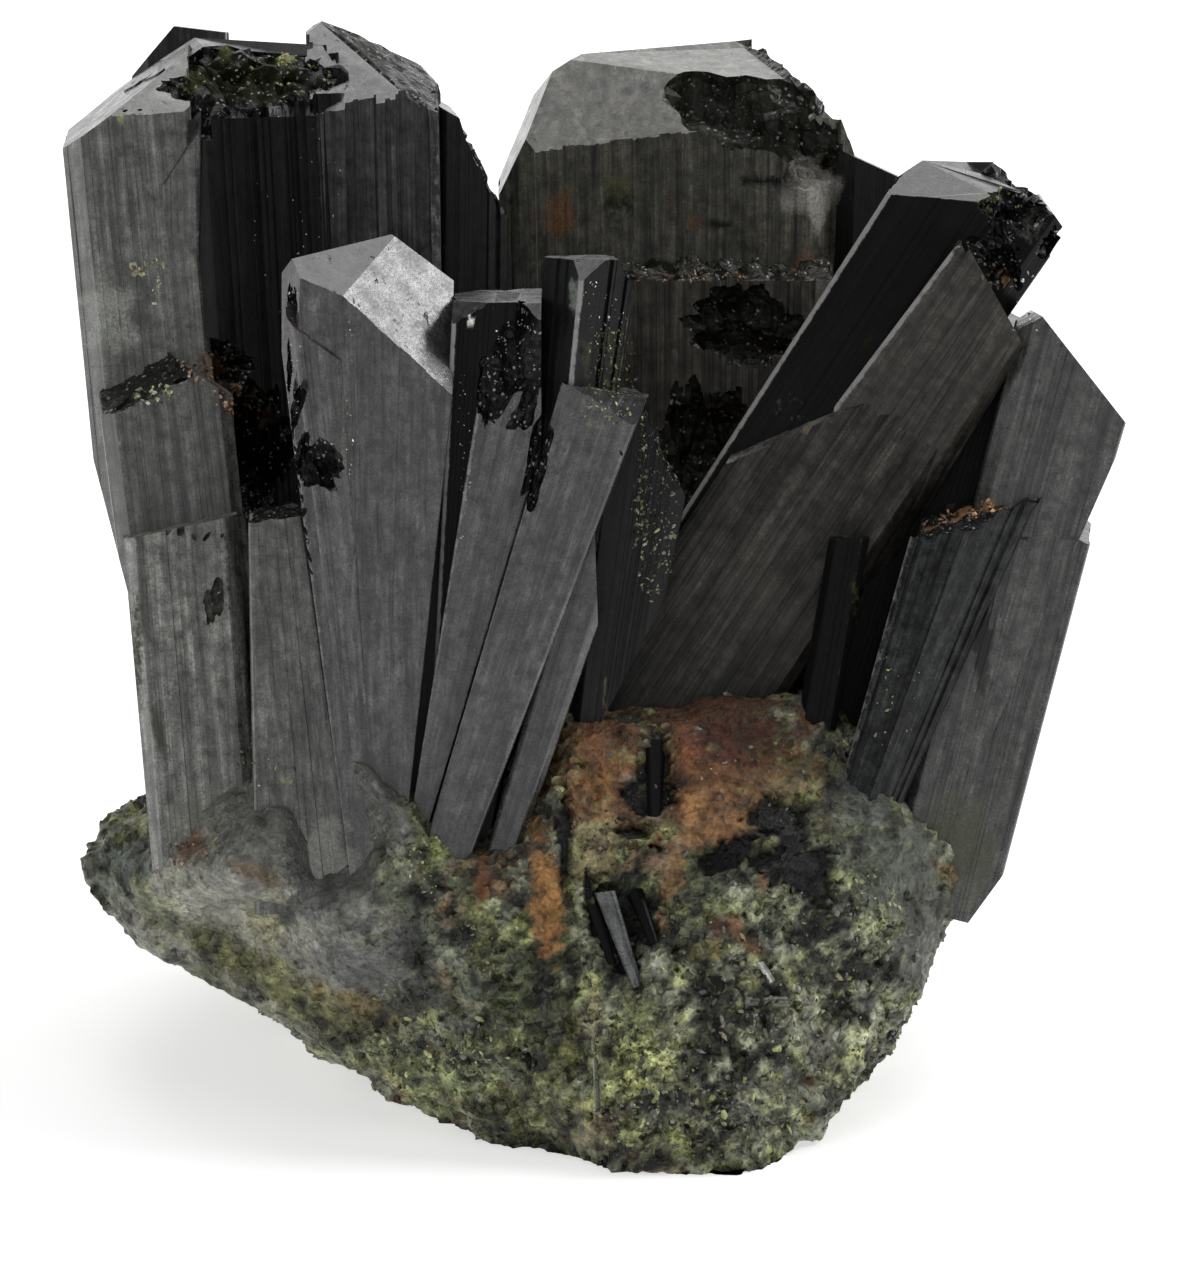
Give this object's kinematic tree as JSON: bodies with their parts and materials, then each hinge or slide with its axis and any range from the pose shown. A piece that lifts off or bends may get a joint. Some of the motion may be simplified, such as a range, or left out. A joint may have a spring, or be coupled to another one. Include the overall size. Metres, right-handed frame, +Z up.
{
  "type": "aegirine crystal cluster",
  "caption": "Fan of black striated aegirine prisms that rise from a green and rust-brown broken matrix and stand on its flat foot.",
  "frame": {"origin": "centre of the bounding box's underside, in the plane of the flat foot", "axes": "+Z up, away from the flat foot; -Y towards the side that the fan's wide faces look at; +X to the right as seen from that side, along the longest side of the box"},
  "size_m": [0.0434, 0.04, 0.0403],
  "materials": {
    "black_crystal": "vitreous to satin, striated along the prisms",
    "matrix": "rough, granular, with rust-brown earthy patches"
  },
  "bodies": {
    "root": {"front_crystals": "black_crystal", "left_crystals": "black_crystal", "right_crystals": "black_crystal", "back_crystals": "black_crystal", "matrix": "matrix"}
  },
  "joints": []
}
